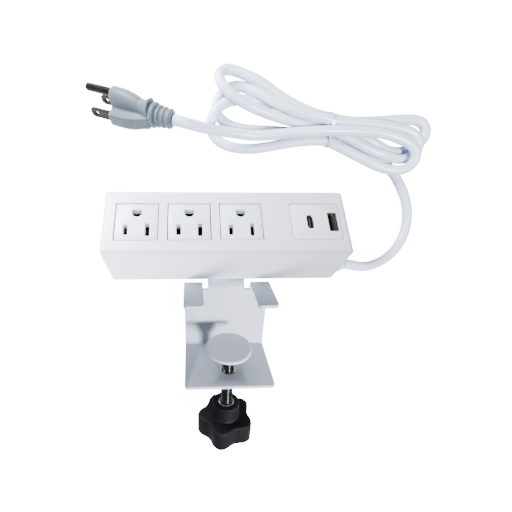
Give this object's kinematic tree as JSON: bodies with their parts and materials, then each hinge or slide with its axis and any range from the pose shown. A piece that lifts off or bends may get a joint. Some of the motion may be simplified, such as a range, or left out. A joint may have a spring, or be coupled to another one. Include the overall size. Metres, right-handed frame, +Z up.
{
  "type": "desk clamp power strip",
  "caption": "Bar-shaped power strip with grounded outlets and a USB panel, on a bent sheet-metal screw clamp, with a coiled and tied cord that ends in a grounded plug.",
  "frame": {"origin": "on the surface the object lies on, below the centre of the housing and clamp (cord left out)", "axes": "+Z up from the surface, +X along the housing towards the USB panel and the cord, +Y from the knob towards the housing"},
  "size_m": [0.2367, 0.2543, 0.0561],
  "materials": {
    "white_plastic": "satin white ABS",
    "white_painted_steel": "white powder coat",
    "grey_painted_steel": "light grey powder coat",
    "black_plastic": "fine matte grain",
    "steel": "plated",
    "black_zinc": "black zinc plate",
    "zinc": "bright zinc plate",
    "brass": "stamped",
    "amber_plastic": "moulded",
    "insulating_board": "pressed board",
    "circuit_board": "solder mask",
    "line_insulation": "extruded",
    "neutral_insulation": "extruded",
    "ground_insulation": "extruded",
    "cord_white": "soft PVC",
    "plug_grey": "soft PVC",
    "tie_clear": "translucent"
  },
  "bodies": {
    "strip": {"front_cover": "white_plastic", "rear_cover": "white_plastic", "cover_screw_1": "steel", "cover_screw_2": "steel", "cover_screw_3": "steel", "cover_screw_4": "steel", "bracket_screw_1": "steel", "bracket_screw_2": "steel", "nut_plate": "steel", "outlet_face_1": "white_plastic", "outlet_face_2": "white_plastic", "outlet_face_3": "white_plastic", "outlet_base_1": "black_plastic", "outlet_base_2": "black_plastic", "outlet_base_3": "black_plastic", "line_bus_bar": "brass", "neutral_bus_bar": "brass", "ground_bus_bar": "brass", "contact_backing_plate": "insulating_board", "usb_bezel": "white_plastic", "usb_c_shell": "steel", "usb_a_shell": "steel", "usb_c_tongue": "black_plastic", "usb_a_tongue": "amber_plastic", "usb_circuit_board": "circuit_board", "usb_transformer": "black_plastic", "usb_capacitor_1": "black_plastic", "usb_capacitor_2": "black_plastic", "usb_controller_chip": "black_plastic", "line_wire": "line_insulation", "neutral_wire": "neutral_insulation", "ground_wire": "ground_insulation", "cord_gland": "cord_white", "clamp_bracket": "white_painted_steel", "clamp_nut": "zinc", "cord_hank": "cord_white", "cable_tie": "tie_clear", "cord_to_hank": "cord_white", "cord_to_plug": "cord_white", "plug_body": "plug_grey", "plug_strain_relief": "plug_grey", "plug_line_blade": "brass", "plug_neutral_blade": "brass", "plug_ground_pin": "brass"},
    "screw_end": {"retaining_ring": "black_zinc"},
    "screw": {"clamp_screw": "black_zinc", "knob": "black_plastic", "knob_insert": "zinc"},
    "pad": {"pressure_pad": "grey_painted_steel", "pad_socket": "zinc"}
  },
  "joints": [
    {"name": "screw_travel", "type": "slide", "parent": "strip", "child": "screw_end", "axis": [0, 0.9432, 0.3323], "range_m": [-0.009, 0.022]},
    {"name": "knob_turn", "type": "hinge", "parent": "screw_end", "child": "screw", "pos_m": [0.0015, -0.02738, 0.03575], "axis": [0, 0.9432, 0.3323], "range_deg": [-2590, 6330]},
    {"name": "pad_tilt", "type": "hinge", "parent": "screw_end", "child": "pad", "pos_m": [0.0015, -0.01248, 0.041], "axis": [1, 0, 0], "range_deg": [-10, 1]}
  ],
  "couplings": [
    {"joint": "screw_travel", "follows": "knob_turn", "m_per_rad": 0.00019894}
  ]
}
